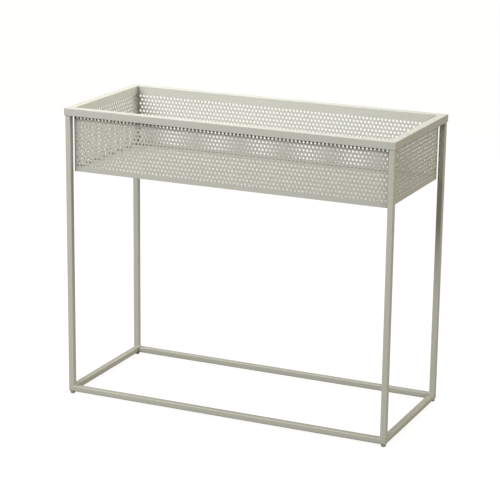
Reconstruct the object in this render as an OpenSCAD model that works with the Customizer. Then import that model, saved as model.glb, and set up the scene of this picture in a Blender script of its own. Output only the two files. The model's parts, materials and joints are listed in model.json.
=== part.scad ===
// Raised planter on legs: a perforated sheet-steel box with a folded rim, on a stand of square tube.
// Origin: the middle of the footprint, on the floor. +Z is up and the long side runs along X.

/* [Overall size] */
// Width over the rim
overall_width = 700; // [400:10:1000]
// Depth over the rim
overall_depth = 300; // [200:10:450]
// Height from the floor to the top of the rim
overall_height = 600; // [400:10:900]

/* [Stand] */
// Outside width of the square tube
tube_size = 12; // [11:0.5:12.5]
// Wall thickness of the tube
tube_wall = 1.2; // [1:0.1:1.4]
// Outside corner radius of the tube, and of the ring's ground corners
tube_radius = 2; // [1.5:0.1:2.4]
// How far the legs stand behind the rim's outer faces
leg_setback = 1.5; // [1.3:0.1:1.8]

/* [Planter box] */
// Height of the box, from the lower edge of its walls to the top of the rim
box_height = 130; // [90:5:200]
// Thickness of the sheet steel
sheet = 1; // [0.8:0.1:1.2]
// Width of the folded rim, seen from above
rim_width = 16; // [16:0.5:20]
// Height of the rim's outer faces
rim_height = 15; // [14:1:18]
// Outside radius of the folds
fold_radius = 1.5; // [1.4:0.1:2]
// Outside radius of the rim's ground corners
corner_radius = 1.2; // [0.8:0.1:1.5]
// Height of the floor's top face above the lower edge of the walls
floor_rise = 4; // [3:1:8]

/* [Perforation] */
// Diameter of the holes
hole_diameter = 5; // [3:0.5:6]
// Distance between holes along a row
hole_pitch = 8; // [7:0.5:12]
// Distance between rows
row_pitch = 8; // [7:0.5:12]
// Depth of the first row's centres below the top of the rim
first_row_drop = 21; // [20:1:30]
// Least distance from a hole's centre to the end of a wall
end_margin = 7; // [6:1:12]
// Least distance from a hole's centre to the lower edge of a wall
lower_margin = 10; // [9:1:15]

/* [Feet] */
// Height of the feet when they are screwed right in
foot_height = 6; // [5:0.5:9]
// Diameter of the feet
foot_diameter = 10; // [9:0.5:11]
// Diameter of the threaded stem
stem_diameter = 6; // [5:0.5:6]

/* [Fixings] */
// Length of the plate on top of each leg, along the rim
plate_length = 34; // [30:1:45]
// Thickness of the plate on top of each leg
leg_plate = 2; // [2:0.5:3]
// Thickness of the tapped plate inside each corner of the rim
tapped_plate = 5; // [4:0.5:6]
// Diameter of the fixing screws
screw_diameter = 5; // [4:1:5]

/* [Hidden] */

// Smoothness of round shapes
$fn = 48;
// How far a cut runs past the face it opens
past = 1;

// Powder coat, zinc-plated fixings and the nylon of the feet
coat = [0.74, 0.73, 0.66];
coat_inside = [0.70, 0.69, 0.62];
zinc = [0.70, 0.71, 0.72];
nylon = [0.50, 0.49, 0.43];

// Levels
box_bottom = overall_height - box_height;
rail_top = foot_height + tube_size;
tapped_plate_bottom = overall_height - sheet - tapped_plate;
leg_top = tapped_plate_bottom - leg_plate;

// The stand's outer size, and the middle of a leg
stand_width = overall_width - 2 * leg_setback;
stand_depth = overall_depth - 2 * leg_setback;
leg_x = stand_width / 2 - tube_size / 2;
leg_y = stand_depth / 2 - tube_size / 2;

// The floor's folded edges end a little above the lower edge of the walls
floor_fold_end = box_bottom + 0.5;

// Plates: the plate's outer end is flush with the leg, and the screw is past the leg's inner face
screw_past_middle = 1;
screw_inset = (plate_length + tube_size) / 2 + screw_past_middle;
screw_gap = 0.25;
screw_length = 6;
screw_head_diameter = 1.9 * screw_diameter;
screw_head_height = 0.55 * screw_diameter;
screw_crown_diameter = 0.6 * screw_head_diameter;
screw_socket_width = 0.6 * screw_diameter;
screw_socket_depth = 0.55 * screw_head_height;

// Perforation
row_count = floor((box_height - first_row_drop - lower_margin) / row_pitch) + 1;

// Feet: the stem runs in a tapped bush in the stand's corner, and reaches down into the foot
foot_clearance = 0.3;
foot_lower_edge = 3;
foot_upper_edge = 0.8;
stem_clearance = 0.05;
stem_hole_clearance = 0.5;
stem_socket = 3;
stem_chamfer = 0.5;
bush_gap = 0.3;
bush_diameter = tube_size - 2 * tube_wall - 2 * bush_gap;
bush_height = tube_size - 2 * tube_wall;
stem_top = rail_top - tube_wall - foot_clearance;

// A square with round corners, centred
module rounded_square(size, radius) {
    square([size, size - 2 * radius], center = true);
    square([size - 2 * radius, size], center = true);
    for (x = [-1, 1], y = [-1, 1])
        translate([x, y] * (size / 2 - radius))
            circle(r = radius);
}

// The square tube's section
module tube_section() {
    difference() {
        rounded_square(tube_size, tube_radius);
        rounded_square(tube_size - 2 * tube_wall, tube_radius - tube_wall);
    }
}

// Section of the folded rim: across the rim in X and up in Y, with its outer face at X = 0
module rim_section() {
    translate([0, overall_height - rim_height])
        difference() {
            round_topped(0, rim_width, 0, rim_height, fold_radius);
            round_topped(sheet, rim_width - sheet, -past, rim_height - sheet, fold_radius - sheet);
        }
}

// A rectangle from (x0, y0) to (x1, y1) whose two upper corners are round
module round_topped(x0, x1, y0, y1, radius) {
    translate([x0, y0])
        square([x1 - x0, y1 - y0 - radius]);
    translate([x0 + radius, y0])
        square([x1 - x0 - 2 * radius, y1 - y0]);
    for (x = [x0 + radius, x1 - radius])
        translate([x, y1 - radius])
            circle(r = radius);
}

// One row of holes through a wall whose outer length over the rim is given
module hole_row(length, row) {
    run = length - 2 * (rim_width - sheet) - 2 * end_margin;
    count = floor(run / hole_pitch) + 1 - row % 2;
    for (k = [0 : count - 1])
        translate([
            (k - (count - 1) / 2) * hole_pitch,
            rim_width - sheet - past,
            overall_height - first_row_drop - row * row_pitch
        ])
            rotate([-90, 0, 0])
                cylinder(d = hole_diameter, h = sheet + 2 * past, $fn = 32);
}

// One side of the box, folded from a single sheet: a perforated wall that turns out and down into
// the rim, mitred at both ends. Its outer face lies on Y = 0 and its length runs along X.
module folded_wall(length) {
    difference() {
        intersection() {
            union() {
                translate([-length / 2, 0, 0])
                    rotate([90, 0, 90])
                        linear_extrude(length)
                            rim_section();
                translate([-length / 2, rim_width - sheet, box_bottom])
                    cube([length, sheet, box_height - rim_height + past]);
            }
            mitred_ends(length, rim_width, corner_radius, box_bottom - past, box_height + 2 * past);
        }
        for (row = [0 : row_count - 1])
            hole_row(length, row);
    }
}

// The space between two 45 degree mitres, for a side of the given outer length and width, whose
// outer vertical corners are round
module mitred_ends(length, width, radius, bottom, height) {
    half = length / 2;
    translate([0, 0, bottom])
        linear_extrude(height)
            intersection() {
                polygon([[-half, 0], [half, 0], [half - width, width], [-half + width, width]]);
                union() {
                    translate([-half, radius])
                        square([length, width]);
                    translate([-half + radius, 0])
                        square([length - 2 * radius, width]);
                    for (x = [-half + radius, half - radius])
                        translate([x, radius])
                            circle(r = radius);
                }
            }
}

// The box's floor: a tray of sheet steel turned down along its four edges
module tray() {
    height = box_bottom + floor_rise - floor_fold_end;
    translate([0, 0, floor_fold_end])
        difference() {
            tray_block(rim_width, 0, height, fold_radius);
            tray_block(rim_width + sheet, -past, height - sheet, fold_radius - sheet);
        }
}

// A centred block that lies a distance inside the overall width and depth, with round upper edges
module tray_block(inset, lower, upper, radius) {
    width = overall_width - 2 * inset;
    depth = overall_depth - 2 * inset;
    intersection() {
        rotate([90, 0, 90])
            linear_extrude(width, center = true)
                round_topped(-depth / 2, depth / 2, lower, upper, radius);
        rotate([90, 0, 0])
            linear_extrude(depth, center = true)
                round_topped(-width / 2, width / 2, lower, upper, radius);
    }
}

// One rail of the stand's ring, mitred, with its outer face on Y = 0, and half of each foot's hole
module rail(length) {
    difference() {
        intersection() {
            translate([-length / 2, tube_size / 2, foot_height + tube_size / 2])
                rotate([90, 0, 90])
                    linear_extrude(length)
                        tube_section();
            mitred_ends(length, tube_size, tube_radius, foot_height - past, tube_size + 2 * past);
        }
        for (x = [-1, 1])
            translate([x * (length / 2 - tube_size / 2), tube_size / 2, foot_height - past])
                cylinder(d = stem_diameter + 2 * stem_hole_clearance, h = tube_wall + 2 * past);
    }
}

// One leg, standing on the corner of the ring
module leg() {
    translate([0, 0, rail_top])
        linear_extrude(leg_top - rail_top)
            tube_section();
}

// The flat outline of both plates at a front left leg: it covers the leg and runs along +X
module plate_outline() {
    translate([-tube_size / 2, -tube_size / 2])
        square([plate_length, tube_size]);
}

// Plate welded on top of a leg, with a clearance hole for the fixing screw
module plate_on_leg() {
    difference() {
        translate([0, 0, leg_top])
            linear_extrude(leg_plate)
                plate_outline();
        translate([screw_inset - tube_size / 2, 0, leg_top - past])
            cylinder(d = screw_diameter + 2 * screw_gap, h = leg_plate + 2 * past);
    }
}

// Tapped plate welded inside a corner of the rim
module plate_in_rim() {
    difference() {
        translate([0, 0, tapped_plate_bottom])
            linear_extrude(tapped_plate)
                plate_outline();
        translate([screw_inset - tube_size / 2, 0, tapped_plate_bottom - past])
            cylinder(d = screw_diameter, h = tapped_plate - sheet + past);
    }
}

// Button-head screw, driven up through the leg's plate into the tapped plate
module fixing_screw() {
    translate([screw_inset - tube_size / 2, 0, leg_top]) {
        cylinder(d = screw_diameter, h = screw_length);
        difference() {
            translate([0, 0, -screw_head_height])
                cylinder(d1 = screw_crown_diameter, d2 = screw_head_diameter, h = screw_head_height);
            translate([0, 0, -screw_head_height - past])
                cylinder(d = screw_socket_width, h = past + screw_socket_depth, $fn = 6);
        }
    }
}

// Tapped bush inside the stand's corner
module bush() {
    translate([0, 0, foot_height + tube_wall])
        difference() {
            cylinder(d = bush_diameter, h = bush_height);
            translate([0, 0, -past])
                cylinder(d = stem_diameter + 2 * stem_clearance, h = bush_height + 2 * past);
        }
}

// Foot: a nylon glide with a well-rounded lower edge, moulded round the lower end of its stem
module foot() {
    top = foot_height - foot_clearance;
    difference() {
        rotate_extrude()
            foot_profile(foot_diameter / 2, top);
        translate([0, 0, top - stem_socket])
            cylinder(d = stem_diameter, h = stem_socket + past);
    }
}

// Half of the foot's section, from its axis at X = 0
module foot_profile(radius, top) {
    intersection() {
        union() {
            square([radius - foot_lower_edge, top]);
            translate([0, foot_lower_edge])
                square([radius - foot_upper_edge, top - foot_lower_edge]);
            translate([0, foot_lower_edge])
                square([radius, top - foot_lower_edge - foot_upper_edge]);
            translate([radius - foot_lower_edge, foot_lower_edge])
                circle(r = foot_lower_edge);
            translate([radius - foot_upper_edge, top - foot_upper_edge])
                circle(r = foot_upper_edge);
        }
        square([radius + past, top]);
    }
}

// The foot's threaded stem
module stem() {
    bottom = foot_height - foot_clearance - stem_socket;
    translate([0, 0, bottom])
        cylinder(d = stem_diameter, h = stem_top - bottom - stem_chamfer);
    translate([0, 0, stem_top - stem_chamfer])
        cylinder(d1 = stem_diameter, d2 = stem_diameter - 2 * stem_chamfer, h = stem_chamfer);
}

// Moves a piece made at the origin to a corner: side_x is -1 at the left and 1 at the right, and
// side_y is -1 at the front and 1 at the back. Plates are turned over so that they run inwards.
module at_corner(side_x, side_y) {
    translate([side_x * leg_x, side_y * leg_y, 0])
        mirror([side_x > 0 ? 1 : 0, 0, 0])
            children();
}

// Turns a side made along the front edge to face front, right, back or left
module at_front(depth) {
    translate([0, -depth / 2, 0])
        children();
}

module at_back(depth) {
    rotate(180)
        at_front(depth)
            children();
}

module at_left(width) {
    rotate(-90)
        at_front(width)
            children();
}

module at_right(width) {
    rotate(90)
        at_front(width)
            children();
}

// The box
module front_wall() {
    color(coat) at_front(overall_depth) folded_wall(overall_width);
}

module back_wall() {
    color(coat) at_back(overall_depth) folded_wall(overall_width);
}

module left_wall() {
    color(coat) at_left(overall_width) folded_wall(overall_depth);
}

module right_wall() {
    color(coat) at_right(overall_width) folded_wall(overall_depth);
}

module planter_floor() {
    color(coat_inside) tray();
}

module rim_plate(side_x, side_y) {
    color(coat_inside) at_corner(side_x, side_y) plate_in_rim();
}

// The stand
module leg_at(side_x, side_y) {
    color(coat) at_corner(side_x, side_y) leg();
}

module leg_plate_at(side_x, side_y) {
    color(coat_inside) at_corner(side_x, side_y) plate_on_leg();
}

module front_rail() {
    color(coat) at_front(stand_depth) rail(stand_width);
}

module back_rail() {
    color(coat) at_back(stand_depth) rail(stand_width);
}

module left_rail() {
    color(coat) at_left(stand_width) rail(stand_depth);
}

module right_rail() {
    color(coat) at_right(stand_width) rail(stand_depth);
}

// The feet and fixings
module bush_at(side_x, side_y) {
    color(zinc) at_corner(side_x, side_y) bush();
}

module foot_at(side_x, side_y) {
    color(nylon) at_corner(side_x, side_y) foot();
}

module stem_at(side_x, side_y) {
    color(zinc) at_corner(side_x, side_y) stem();
}

module fixing_screws() {
    color(zinc)
        for (x = [-1, 1], y = [-1, 1])
            at_corner(x, y) fixing_screw();
}

front_wall();
back_wall();
left_wall();
right_wall();
planter_floor();
rim_plate(-1, -1);  // rim_plate_front_left
rim_plate(1, -1);  // rim_plate_front_right
rim_plate(-1, 1);  // rim_plate_back_left
rim_plate(1, 1);  // rim_plate_back_right
leg_at(-1, -1);  // leg_front_left
leg_at(1, -1);  // leg_front_right
leg_at(-1, 1);  // leg_back_left
leg_at(1, 1);  // leg_back_right
leg_plate_at(-1, -1);  // leg_plate_front_left
leg_plate_at(1, -1);  // leg_plate_front_right
leg_plate_at(-1, 1);  // leg_plate_back_left
leg_plate_at(1, 1);  // leg_plate_back_right
front_rail();
back_rail();
left_rail();
right_rail();
bush_at(-1, -1);  // bush_front_left
bush_at(1, -1);  // bush_front_right
bush_at(-1, 1);  // bush_back_left
bush_at(1, 1);  // bush_back_right
foot_at(-1, -1);  // foot_front_left
foot_at(1, -1);  // foot_front_right
foot_at(-1, 1);  // foot_back_left
foot_at(1, 1);  // foot_back_right
stem_at(-1, -1);  // stem_front_left
stem_at(1, -1);  // stem_front_right
stem_at(-1, 1);  // stem_back_left
stem_at(1, 1);  // stem_back_right
fixing_screws();
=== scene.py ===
import json
import math

import bmesh
import bpy
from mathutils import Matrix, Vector

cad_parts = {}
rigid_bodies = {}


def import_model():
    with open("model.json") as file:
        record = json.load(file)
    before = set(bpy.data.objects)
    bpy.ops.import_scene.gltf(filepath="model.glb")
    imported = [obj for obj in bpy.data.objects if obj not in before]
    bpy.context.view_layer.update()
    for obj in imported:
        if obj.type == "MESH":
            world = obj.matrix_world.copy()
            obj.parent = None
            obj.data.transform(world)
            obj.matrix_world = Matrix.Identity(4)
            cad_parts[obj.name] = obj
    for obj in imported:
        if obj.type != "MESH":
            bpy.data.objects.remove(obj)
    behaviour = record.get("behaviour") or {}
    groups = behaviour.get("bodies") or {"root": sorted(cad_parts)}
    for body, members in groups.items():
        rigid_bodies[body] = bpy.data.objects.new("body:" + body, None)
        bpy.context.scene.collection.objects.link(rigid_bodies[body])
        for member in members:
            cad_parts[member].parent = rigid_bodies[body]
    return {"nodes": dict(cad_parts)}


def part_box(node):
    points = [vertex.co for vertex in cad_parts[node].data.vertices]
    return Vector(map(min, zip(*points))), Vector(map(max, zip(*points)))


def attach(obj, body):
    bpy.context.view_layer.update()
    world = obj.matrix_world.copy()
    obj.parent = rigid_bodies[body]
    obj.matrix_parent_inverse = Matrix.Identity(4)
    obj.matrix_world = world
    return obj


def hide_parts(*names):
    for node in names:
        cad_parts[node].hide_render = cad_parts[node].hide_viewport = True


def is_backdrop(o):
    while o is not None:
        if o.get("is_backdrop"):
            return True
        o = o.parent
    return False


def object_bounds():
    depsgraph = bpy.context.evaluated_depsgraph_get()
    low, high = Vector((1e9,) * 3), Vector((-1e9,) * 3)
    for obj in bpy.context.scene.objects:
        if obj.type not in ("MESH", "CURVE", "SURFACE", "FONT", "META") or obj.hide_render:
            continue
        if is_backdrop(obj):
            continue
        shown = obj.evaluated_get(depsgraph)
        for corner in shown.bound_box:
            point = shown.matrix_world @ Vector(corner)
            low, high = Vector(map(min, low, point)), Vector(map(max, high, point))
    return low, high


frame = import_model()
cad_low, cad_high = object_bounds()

nodes = frame["nodes"]
scene = bpy.context.scene


# The camera stands to the right of the middle and looks down a little on the box through a long lens.
# It is level but for a slight tilt.
camera_place = (1.4947, -3.3205, 1.3175)
camera_turn = math.radians(24.36)
camera_dip = math.radians(15.40)
camera_tilt = math.radians(0.71)
focal_share = 3.7417  # focal length as a share of the picture's width

camera_data = bpy.data.cameras.new("camera")
camera_data.lens = focal_share * camera_data.sensor_width
camera = bpy.data.objects.new("camera", camera_data)
scene.collection.objects.link(camera)
camera.location = camera_place
camera.rotation_euler = (math.pi / 2 - camera_dip, 0, camera_turn)
camera.rotation_euler.rotate_axis("Z", camera_tilt)
scene.camera = camera


# The stand: four legs and a ring of mitred rails, cut from 12 mm square steel tube, with a welded
# plate on top of each leg. It is sprayed with a sage-grey polyester powder and baked, which leaves a
# matt skin with a fine orange peel. The skin is thinner, and looks paler, on sharp edges.
tube_colour = (0.53, 0.532, 0.47, 1)
edge_colour = (0.80, 0.80, 0.72, 1)
# Painted shade: the coat is darkened towards this colour in recesses and under overhanging edges
painted_shade_colour = (0.13, 0.12, 0.085, 1)
# Weld seams and the painted shadow lines under the rim's lip both take this dark colour
seam_and_shadow_colour = (0.10, 0.09, 0.06, 1)
rim_height = 0.015
# How far the painted shadow under the rim's lip reaches down each leg
leg_shadow_depth = 0.0014
ring_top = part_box("front_rail")[1][2]
lip_bottom = cad_high[2] - rim_height


def link(tree, source, target):
    tree.links.new(source, target)


def group_socket(tree, name, direction, kind, value=None, low=None, high=None):
    socket = tree.interface.new_socket(name=name, in_out=direction, socket_type=kind)
    if value is not None:
        socket.default_value = value
    if low is not None:
        socket.min_value = low
    if high is not None:
        socket.max_value = high


def noise(tree, place, scale, detail=2):
    texture = tree.nodes.new("ShaderNodeTexNoise")
    texture.inputs["Scale"].default_value = scale
    texture.inputs["Detail"].default_value = detail
    link(tree, place.outputs["Object"], texture.inputs["Vector"])
    return texture.outputs["Fac"]


# Each of the values is a number, or a socket that gives one
def calculate(tree, operation, *values):
    step = tree.nodes.new("ShaderNodeMath")
    step.operation = operation
    for slot, value in zip(step.inputs, values):
        if isinstance(value, (int, float)):
            slot.default_value = value
        else:
            link(tree, value, slot)
    return step.outputs[0]


def map_range(tree, value, from_low=0, from_high=1, to_low=0, to_high=1):
    mapped = tree.nodes.new("ShaderNodeMapRange")
    mapped.inputs["From Min"].default_value = from_low
    mapped.inputs["From Max"].default_value = from_high
    mapped.inputs["To Min"].default_value = to_low
    mapped.inputs["To Max"].default_value = to_high
    link(tree, value, mapped.inputs["Value"])
    return mapped


def blend(tree, amount, base, colour):
    mixed = tree.nodes.new("ShaderNodeMix")
    mixed.data_type = "RGBA"
    mixed.inputs["B"].default_value = colour
    link(tree, amount, mixed.inputs["Factor"])
    link(tree, base, mixed.inputs["A"])
    return mixed.outputs["Result"]


def make_coat_group():
    cloud_scale = 7
    speckle_scale = 1400
    edge_radius = 0.0006
    shelter_reach = 0.024
    peel_scale = 850  # about a millimetre from crest to crest
    peel_height = 0.00008
    gloss_swing = 0.06

    tree = bpy.data.node_groups.new("powder_coat", "ShaderNodeTree")
    group_socket(tree, "Colour", "INPUT", "NodeSocketColor", tube_colour)
    group_socket(tree, "Tone Spread", "INPUT", "NodeSocketFloat", 0.05, 0, 1)
    group_socket(tree, "Edge Paleness", "INPUT", "NodeSocketFloat", 0.12, 0, 1)
    # How strongly the coat is darkened by painted shade in recesses
    group_socket(tree, "Dust", "INPUT", "NodeSocketFloat", 0.1, 0, 1)
    group_socket(tree, "Peel Depth", "INPUT", "NodeSocketFloat", 0.25, 0, 1)
    group_socket(tree, "Seam", "INPUT", "NodeSocketFloat", 0, 0, 1)
    group_socket(tree, "Roughness", "INPUT", "NodeSocketFloat", 0.5, 0, 1)
    group_socket(tree, "Colour", "OUTPUT", "NodeSocketColor")
    group_socket(tree, "Roughness", "OUTPUT", "NodeSocketFloat")
    group_socket(tree, "Normal", "OUTPUT", "NodeSocketVector")
    add = tree.nodes.new
    given = add("NodeGroupInput")
    out = add("NodeGroupOutput")
    place = add("ShaderNodeTexCoord")

    # Slow changes of tone from one stretch to the next, and the speckle of the powder's own grains
    cloud = noise(tree, place, cloud_scale, detail=3)
    both = calculate(tree, "ADD", cloud, noise(tree, place, speckle_scale))
    centred = calculate(tree, "SUBTRACT", both, 1.0)
    toned = add("ShaderNodeVectorMath")
    toned.operation = "SCALE"
    link(tree, given.outputs["Colour"], toned.inputs[0])
    spread = calculate(tree, "MULTIPLY_ADD", centred, given.outputs["Tone Spread"], 1.0)
    link(tree, spread, toned.inputs["Scale"])

    # Edges: where the rounded normal leaves the true one, the coat is thin and pale
    rounded = add("ShaderNodeBevel")
    rounded.samples = 4
    rounded.inputs["Radius"].default_value = edge_radius
    surface = add("ShaderNodeNewGeometry")
    agree = add("ShaderNodeVectorMath")
    agree.operation = "DOT_PRODUCT"
    link(tree, rounded.outputs["Normal"], agree.inputs[0])
    link(tree, surface.outputs["Normal"], agree.inputs[1])
    edge = map_range(tree, agree.outputs["Value"], from_low=0.995, from_high=0.80).outputs["Result"]
    edge_amount = calculate(tree, "MULTIPLY", edge, given.outputs["Edge Paleness"])
    paler = blend(tree, edge_amount, toned.outputs[0], edge_colour)

    # Painted shade: ambient occlusion darkens the coat towards a dark brown in inner corners and under
    # overhanging edges
    shelter = add("ShaderNodeAmbientOcclusion")
    shelter.samples = 4
    shelter.inputs["Distance"].default_value = shelter_reach
    shade_mask = map_range(tree, shelter.outputs["AO"], from_low=0.84, from_high=0.55).outputs["Result"]
    shade_amount = calculate(tree, "MULTIPLY", shade_mask, given.outputs["Dust"])
    shaded_colour = blend(tree, shade_amount, paler, painted_shade_colour)

    # A weld that was ground flush shows through the coat as a thin darker line, and the same colour is
    # laid as a painted shadow line under an overhanging edge
    lined = blend(tree, given.outputs["Seam"], shaded_colour, seam_and_shadow_colour)
    link(tree, lined, out.inputs["Colour"])

    # Orange peel
    bump = add("ShaderNodeBump")
    bump.inputs["Distance"].default_value = peel_height
    link(tree, noise(tree, place, peel_scale, detail=1.5), bump.inputs["Height"])
    link(tree, given.outputs["Peel Depth"], bump.inputs["Strength"])
    link(tree, rounded.outputs["Normal"], bump.inputs["Normal"])
    link(tree, bump.outputs["Normal"], out.inputs["Normal"])

    # The gloss wanders a little with the tone
    gloss = map_range(tree, cloud, to_low=-gloss_swing, to_high=gloss_swing).outputs["Result"]
    rough = calculate(tree, "ADD", gloss, given.outputs["Roughness"])
    rough.node.use_clamp = True
    link(tree, rough, out.inputs["Roughness"])
    return tree


# A darker line at a distance from the middle, the same on all four sides of the object, used both for
# weld seams and for painted shadow lines under the rim's lip
def make_dark_line_group():
    tree = bpy.data.node_groups.new("seam_and_shadow_line", "ShaderNodeTree")
    group_socket(tree, "Direction", "INPUT", "NodeSocketVector", (0, 0, 1))
    group_socket(tree, "Distance", "INPUT", "NodeSocketFloat", 0)
    group_socket(tree, "Half Width", "INPUT", "NodeSocketFloat", 0.0004)
    group_socket(tree, "Outside Of", "INPUT", "NodeSocketVector", (-1, -1, -1))
    group_socket(tree, "Strength", "INPUT", "NodeSocketFloat", 0.5, 0, 1)
    group_socket(tree, "Seam", "OUTPUT", "NodeSocketFloat")
    add = tree.nodes.new
    given = add("NodeGroupInput")
    out = add("NodeGroupOutput")
    place = add("ShaderNodeTexCoord")
    folded = add("ShaderNodeVectorMath")
    folded.operation = "ABSOLUTE"
    along = add("ShaderNodeVectorMath")
    along.operation = "DOT_PRODUCT"
    link(tree, place.outputs["Object"], folded.inputs[0])
    link(tree, folded.outputs[0], along.inputs[0])
    link(tree, given.outputs["Direction"], along.inputs[1])
    beyond = calculate(tree, "SUBTRACT", along.outputs["Value"], given.outputs["Distance"])
    line = map_range(tree, calculate(tree, "ABSOLUTE", beyond), to_low=1, to_high=0)
    link(tree, given.outputs["Half Width"], line.inputs["From Max"])
    strength = calculate(tree, "MULTIPLY", line.outputs["Result"], given.outputs["Strength"])

    # Only what lies outside a block of the given half width and half depth takes the seam
    past_block = add("ShaderNodeVectorMath")
    past_block.operation = "SUBTRACT"
    sides = add("ShaderNodeSeparateXYZ")
    link(tree, folded.outputs[0], past_block.inputs[0])
    link(tree, given.outputs["Outside Of"], past_block.inputs[1])
    link(tree, past_block.outputs[0], sides.inputs[0])
    farther = calculate(tree, "MAXIMUM", sides.outputs["X"], sides.outputs["Y"])
    outside = calculate(tree, "GREATER_THAN", farther, 0)
    link(tree, calculate(tree, "MULTIPLY", strength, outside), out.inputs["Seam"])
    return tree


coat_group = make_coat_group()
dark_line_group = make_dark_line_group()


def new_material(name):
    material = bpy.data.materials.new(name)
    material.use_nodes = True
    return material, material.node_tree, material.node_tree.nodes["Principled BSDF"]


def placed_group(tree, group, values):
    placed = tree.nodes.new("ShaderNodeGroup")
    placed.node_tree = group
    for socket, value in values.items():
        placed.inputs[socket.replace("_", " ")].default_value = value
    return placed


def coated_steel(name, **values):
    material, tree, shader = new_material(name)
    shader.inputs["Specular IOR Level"].default_value = 0.35
    coat = placed_group(tree, coat_group, values)
    link(tree, coat.outputs["Colour"], shader.inputs["Base Color"])
    link(tree, coat.outputs["Roughness"], shader.inputs["Roughness"])
    link(tree, coat.outputs["Normal"], shader.inputs["Normal"])
    return material


# A second dark line on the same coat joins the first, and the darker of the two shows. The dark lines
# are weld seams and painted shadow lines.
def add_dark_line(material, **values):
    tree = material.node_tree
    dark_mark = placed_group(tree, dark_line_group, values).outputs["Seam"]
    coat = next(n for n in tree.nodes if n.type == "GROUP" and n.node_tree == coat_group)
    if coat.inputs["Seam"].is_linked:
        dark_mark = calculate(tree, "MAXIMUM", coat.inputs["Seam"].links[0].from_socket, dark_mark)
    link(tree, dark_mark, coat.inputs["Seam"])


def dress(names, material):
    for name in names:
        nodes[name].data.materials.clear()
        nodes[name].data.materials.append(material)


# Painted shade darkens the tube coat in recesses, such as the leg tops under the rim
tube_coat = coated_steel("coat_on_tube", Colour=tube_colour, Dust=0.3)
add_dark_line(tube_coat, Direction=(0, 0, 1), Distance=ring_top, Strength=0.22)
# Painted shadow: a dark band across the top of each leg, just under the rim's lip
add_dark_line(tube_coat, Direction=(0, 0, 1), Distance=lip_bottom, Half_Width=leg_shadow_depth, Strength=0.7)
dress([name for name in nodes if name.startswith("leg_") or name.endswith("_rail")], tube_coat)


# Fillet welds hold each leg to the ring along the leg's two inner faces. A bead is laid by hand in
# short overlapping puddles, and is left unground and coated with the frame.
puddle_radius = 0.0021
puddle_step = 0.0013
puddle_swing = 0.12  # how much a puddle's size varies, as a share
puddle_beat = 2.1  # radians from one puddle's size to the next
puddle_offset = 0.0004  # how far a puddle's middle stands off the tube's faces
bead_end = 1.5 * puddle_radius  # how far a bead stops short of the leg's outer face
bead_grain = 0.00025

# Side of the object in X and in Y, and the body of the foot, at each corner
corners = {
    "front_left": (-1, -1, "foot_a"),
    "front_right": (1, -1, "foot_b"),
    "back_left": (-1, 1, "foot_c"),
    "back_right": (1, 1, "foot_d"),
}


def bead_line(start, end):
    start = Vector(start)
    end = Vector(end)
    steps = round((end - start).length / puddle_step)
    for k in range(steps + 1):
        swell = 1 + puddle_swing * math.sin(puddle_beat * k)
        bpy.ops.mesh.primitive_ico_sphere_add(
            subdivisions=2, radius=puddle_radius * swell, location=start.lerp(end, k / steps)
        )


def fillet_weld(corner, side_x, side_y):
    low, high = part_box("leg_" + corner)
    inner_x = (low[0] if side_x > 0 else high[0]) - side_x * puddle_offset
    inner_y = (low[1] if side_y > 0 else high[1]) - side_y * puddle_offset
    outer_x = (high[0] if side_x > 0 else low[0]) - side_x * bead_end
    outer_y = (high[1] if side_y > 0 else low[1]) - side_y * bead_end
    height = ring_top + puddle_offset
    bpy.ops.object.select_all(action="DESELECT")
    before = set(bpy.data.objects)
    bead_line((inner_x, outer_y, height), (inner_x, inner_y, height))
    bead_line((inner_x, inner_y, height), (outer_x, inner_y, height))
    for puddle in set(bpy.data.objects) - before:
        puddle.select_set(True)
    bpy.ops.object.join()
    bead = bpy.context.active_object
    bead.name = "weld_" + corner
    bpy.ops.object.transform_apply(location=True, rotation=True, scale=True)
    fuse = bead.modifiers.new("fuse", "REMESH")
    fuse.mode = "VOXEL"
    fuse.voxel_size = bead_grain
    bpy.ops.object.modifier_apply(modifier="fuse")
    ease = bead.modifiers.new("ease", "SMOOTH")
    ease.iterations = 4
    bpy.ops.object.modifier_apply(modifier="ease")
    bpy.ops.object.shade_smooth()
    bead.data.materials.append(tube_coat)
    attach(bead, "planter")


for corner, (side_x, side_y, _) in corners.items():
    fillet_weld(corner, side_x, side_y)


# The box: each wall is one sheet of 1 mm steel, punched in staggered rows, then folded out and down
# into the rim and mitred. The corners are welded and ground, and the tapped plates are welded inside
# the rim before the same coat goes on.
sheet_colour = (0.53, 0.533, 0.487, 1)
rim_width = 0.016
sheet = 0.001
# How far the painted shadow under the rim's lip reaches down the walls' outer faces
wall_shadow_depth = 0.0045
rim_x, rim_y, _ = cad_high
mitre = (math.sqrt(0.5), -math.sqrt(0.5), 0)
mitre_distance = (rim_x - rim_y) * math.sqrt(0.5)
wall_middle_x = rim_x - rim_width + sheet / 2
wall_middle_y = rim_y - rim_width + sheet / 2

# Painted shade darkens the sheet coat in recesses, most deeply under the rim's lip
sheet_coat = coated_steel("coat_on_sheet", Colour=sheet_colour, Dust=0.7)
add_dark_line(sheet_coat, Direction=mitre, Distance=mitre_distance, Strength=0.2)
# Painted shadow: a dark band on the walls' outer faces just under the rim's lip
add_dark_line(
    sheet_coat,
    Direction=(0, 0, 1),
    Distance=lip_bottom - wall_shadow_depth,
    Half_Width=wall_shadow_depth,
    Outside_Of=(wall_middle_x, wall_middle_y, 0),
    Strength=1,
)
dress([name for name in nodes if name.endswith("_wall") or name.startswith("rim_plate")], sheet_coat)


# The floor is a tray of the same sheet, turned down along its edges and spot-welded between the walls.
# Its coat takes a little painted shade along its sides, where it meets the walls.
tray_coat = coated_steel("coat_on_tray", Colour=(0.545, 0.548, 0.505, 1), Dust=0.35)
dress(["planter_floor"], tray_coat)


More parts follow.
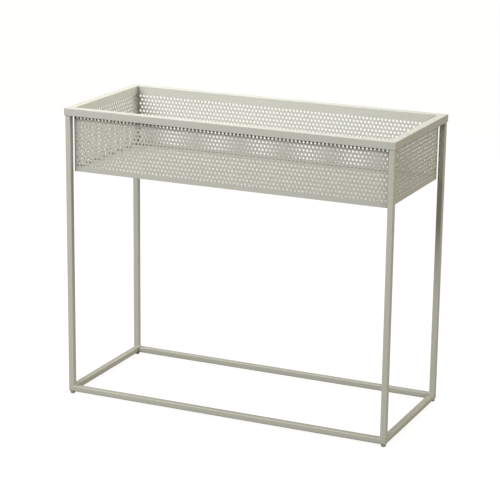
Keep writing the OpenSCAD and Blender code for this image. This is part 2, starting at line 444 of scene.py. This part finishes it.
# Turned steel, zinc plated and left bare: the tapped bushes pressed into the ring's corners, and the
# button-head screws that hold the box to the stand.
def zinc_plate():
    spangle_scale = 500
    material, tree, shader = new_material("zinc_plate")
    shader.inputs["Metallic"].default_value = 1
    spangle = noise(tree, tree.nodes.new("ShaderNodeTexCoord"), spangle_scale)
    tone = tree.nodes.new("ShaderNodeMix")
    tone.data_type = "RGBA"
    tone.inputs["A"].default_value = (0.55, 0.56, 0.58, 1)
    tone.inputs["B"].default_value = (0.72, 0.73, 0.74, 1)
    rough = map_range(tree, spangle, to_low=0.25, to_high=0.45)
    link(tree, spangle, tone.inputs["Factor"])
    link(tree, tone.outputs["Result"], shader.inputs["Base Color"])
    link(tree, rough.outputs["Result"], shader.inputs["Roughness"])
    return material


zinc = zinc_plate()
dress([name for name in nodes if name.startswith("bush_")] + ["fixing_screws"], zinc)


# The feet are small nylon glides in the colour of the frame, moulded round the lower ends of their
# stems, with a satin face from the mould.
def nylon():
    mottle_scale = 900
    material, tree, shader = new_material("moulded_nylon")
    mottle = noise(tree, tree.nodes.new("ShaderNodeTexCoord"), mottle_scale)
    tone = tree.nodes.new("ShaderNodeMix")
    tone.data_type = "RGBA"
    tone.inputs["A"].default_value = (0.33, 0.33, 0.275, 1)
    tone.inputs["B"].default_value = (0.38, 0.38, 0.32, 1)
    rough = map_range(tree, mottle, to_low=0.32, to_high=0.48)
    link(tree, mottle, tone.inputs["Factor"])
    link(tree, tone.outputs["Result"], shader.inputs["Base Color"])
    link(tree, rough.outputs["Result"], shader.inputs["Roughness"])
    return material


dress([name for name in nodes if name.startswith("foot_")], nylon())


# The stem of each foot: a rolled M6 thread with a plain chamfered tip, moulded into the foot at its
# lower end and turned into the bush in the frame's corner.
thread_pitch = 0.001
thread_depth = 0.54 * thread_pitch
thread_steps = 32
profile_cuts = 7
crest_half = 0.13 * thread_pitch
tip_height = 0.0005
tip_taper = 0.8
merge_gap = 5e-6
cut_gap = 1e-7
stem_low, stem_high = (Vector(c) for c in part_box("stem_front_left"))
stem_radius = (stem_high.x - stem_low.x) / 2
root_radius = stem_radius - thread_depth
thread_start = stem_low.z - 1.5 * thread_pitch
thread_top = stem_high.z - tip_height


def pick(test):
    mesh = bmesh.from_edit_mesh(bpy.context.active_object.data)
    for part in (mesh.faces, mesh.edges, mesh.verts):
        for item in part:
            item.select = False
    for vertex in mesh.verts:
        vertex.select = test(vertex.co)
    mesh.select_flush(True)
    bmesh.update_edit_mesh(bpy.context.active_object.data)


def cut_level(height, keep_above):
    bpy.ops.mesh.select_all(action="SELECT")
    bpy.ops.mesh.bisect(
        plane_co=(0, 0, height),
        plane_no=(0, 0, 1),
        use_fill=True,
        threshold=cut_gap,
        clear_inner=keep_above,
        clear_outer=not keep_above,
    )


def threaded_stem():
    # One turn's outline stands on the root circle, and the screw modifier winds it up the stem
    bpy.ops.object.select_all(action="DESELECT")
    bpy.ops.mesh.primitive_plane_add(
        size=thread_pitch,
        location=(root_radius + thread_pitch / 2, 0, thread_start + thread_pitch / 2),
        rotation=(math.pi / 2, 0, 0),
    )
    stem = bpy.context.active_object
    bpy.ops.object.transform_apply(location=True, rotation=True, scale=True)
    bpy.ops.object.mode_set(mode="EDIT")
    pick(lambda co: co.x > root_radius + thread_pitch / 2)
    bpy.ops.mesh.delete(type="VERT")
    bpy.ops.mesh.select_all(action="SELECT")
    bpy.ops.mesh.subdivide(number_cuts=profile_cuts)
    crest = thread_start + thread_pitch / 2
    pick(lambda co: abs(co.z - crest) < crest_half)
    bpy.ops.transform.translate(value=(thread_depth, 0, 0))
    bpy.ops.object.mode_set(mode="OBJECT")
    wind = stem.modifiers.new("wind", "SCREW")
    wind.axis = "Z"
    wind.screw_offset = thread_pitch
    wind.iterations = math.ceil((stem_high.z - thread_start) / thread_pitch) + 2
    wind.steps = wind.render_steps = thread_steps
    bpy.ops.object.modifier_apply(modifier="wind")

    # Both ends are cut level and closed, and the upper one is drawn out into the tip
    bpy.ops.object.mode_set(mode="EDIT")
    bpy.ops.mesh.select_all(action="SELECT")
    bpy.ops.mesh.remove_doubles(threshold=merge_gap)
    cut_level(stem_low.z, True)
    cut_level(thread_top, False)
    pick(lambda co: co.z > thread_top - 1e-6)
    bpy.ops.mesh.extrude_region_move(TRANSFORM_OT_translate={"value": (0, 0, tip_height)})
    bpy.ops.transform.resize(value=(tip_taper, tip_taper, 1), center_override=(0, 0, stem_high.z))
    bpy.ops.mesh.select_all(action="SELECT")
    bpy.ops.mesh.normals_make_consistent(inside=False)
    bpy.ops.object.mode_set(mode="OBJECT")
    bpy.ops.object.shade_smooth_by_angle(angle=math.radians(35))
    stem.data.materials.append(zinc)
    return stem


pattern_stem = threaded_stem()
for corner, (_, _, body) in corners.items():
    stem = pattern_stem.copy()
    stem.data = pattern_stem.data.copy()
    stem.name = "threaded_stem_" + corner
    scene.collection.objects.link(stem)
    bpy.ops.object.select_all(action="DESELECT")
    stem.select_set(True)
    bpy.context.view_layer.objects.active = stem
    low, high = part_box("stem_" + corner)
    stem.location = ((low[0] + high[0]) / 2, (low[1] + high[1]) / 2, 0)
    bpy.ops.object.transform_apply(location=True, rotation=True, scale=True)
    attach(stem, body)
    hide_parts("stem_" + corner)
bpy.data.objects.remove(pattern_stem)


# The studio: a pale floor that runs away to white paper all round, and three soft lights, one over
# the box, a weaker one in front on the left, and a warm low one on the right. The floor and the
# paper look brighter than they light, so that the shadows on them stay faint.
floor_size = 60
floor_colour = (0.15, 0.145, 0.125, 1)
floor_glow = 0.91
paper_white = (1, 1, 1, 1)
room_colour = (1.0, 0.96, 0.87, 1)
room_strength = 0.47
cool_white = (0.98, 0.99, 1.0)
warm_white = (1.0, 0.94, 0.79)

bpy.ops.object.select_all(action="DESELECT")
bpy.ops.mesh.primitive_plane_add(size=floor_size, location=(0, 0, 0))
floor = bpy.context.active_object
floor.name = "studio_floor"
floor_paint, floor_tree, floor_shader = new_material("floor_paint")
floor_shader.inputs["Base Color"].default_value = floor_colour
floor_shader.inputs["Roughness"].default_value = 0.9
floor_shader.inputs["Specular IOR Level"].default_value = 0.1
floor_shader.inputs["Emission Color"].default_value = paper_white
floor_seen = floor_tree.nodes.new("ShaderNodeLightPath")
glow = calculate(floor_tree, "MULTIPLY", floor_seen.outputs["Is Camera Ray"], floor_glow)
link(floor_tree, glow, floor_shader.inputs["Emission Strength"])
floor.data.materials.append(floor_paint)
floor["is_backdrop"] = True

world = bpy.data.worlds.new("studio_paper")
world.use_nodes = True
world_tree = world.node_tree
room = world_tree.nodes["Background"]
room.inputs["Color"].default_value = room_colour
room.inputs["Strength"].default_value = room_strength
paper = world_tree.nodes.new("ShaderNodeBackground")
paper.inputs["Color"].default_value = paper_white
paper_seen = world_tree.nodes.new("ShaderNodeLightPath")
either = world_tree.nodes.new("ShaderNodeMixShader")
link(world_tree, paper_seen.outputs["Is Camera Ray"], either.inputs["Fac"])
link(world_tree, room.outputs["Background"], either.inputs[1])
link(world_tree, paper.outputs["Background"], either.inputs[2])
link(world_tree, either.outputs["Shader"], world_tree.nodes["World Output"].inputs["Surface"])
scene.world = world


def soft_lamp(name, kind, energy, colour):
    lamp_data = bpy.data.lights.new(name, kind)
    lamp_data.energy = energy
    lamp_data.color = colour
    lamp = bpy.data.objects.new(name, lamp_data)
    lamp.visible_camera = False
    scene.collection.objects.link(lamp)
    return lamp


def aim(lamp, direction):
    lamp.rotation_euler = Vector(direction).to_track_quat("Z", "Y").to_euler()


overhead_lamp = soft_lamp("overhead_lamp", "AREA", 14.5, cool_white)
overhead_lamp.data.shape = "RECTANGLE"
overhead_lamp.data.size = 1.4
overhead_lamp.data.size_y = 1.0
overhead_lamp.location = (-0.32, 0.2, 1.6)

side_lamp = soft_lamp("side_lamp", "SUN", 1.4, warm_white)
side_lamp.data.angle = math.radians(50)
aim(side_lamp, (1.0, 0.1, 0.2))

front_lamp = soft_lamp("front_lamp", "AREA", 102, cool_white)
front_lamp.data.size = 1.6
front_lamp.location = (-1.33, -3.2, 2.3)
aim(front_lamp, (-1.33, -3.2, 2.0))

scene.view_settings.view_transform = "Standard"

low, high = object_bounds()
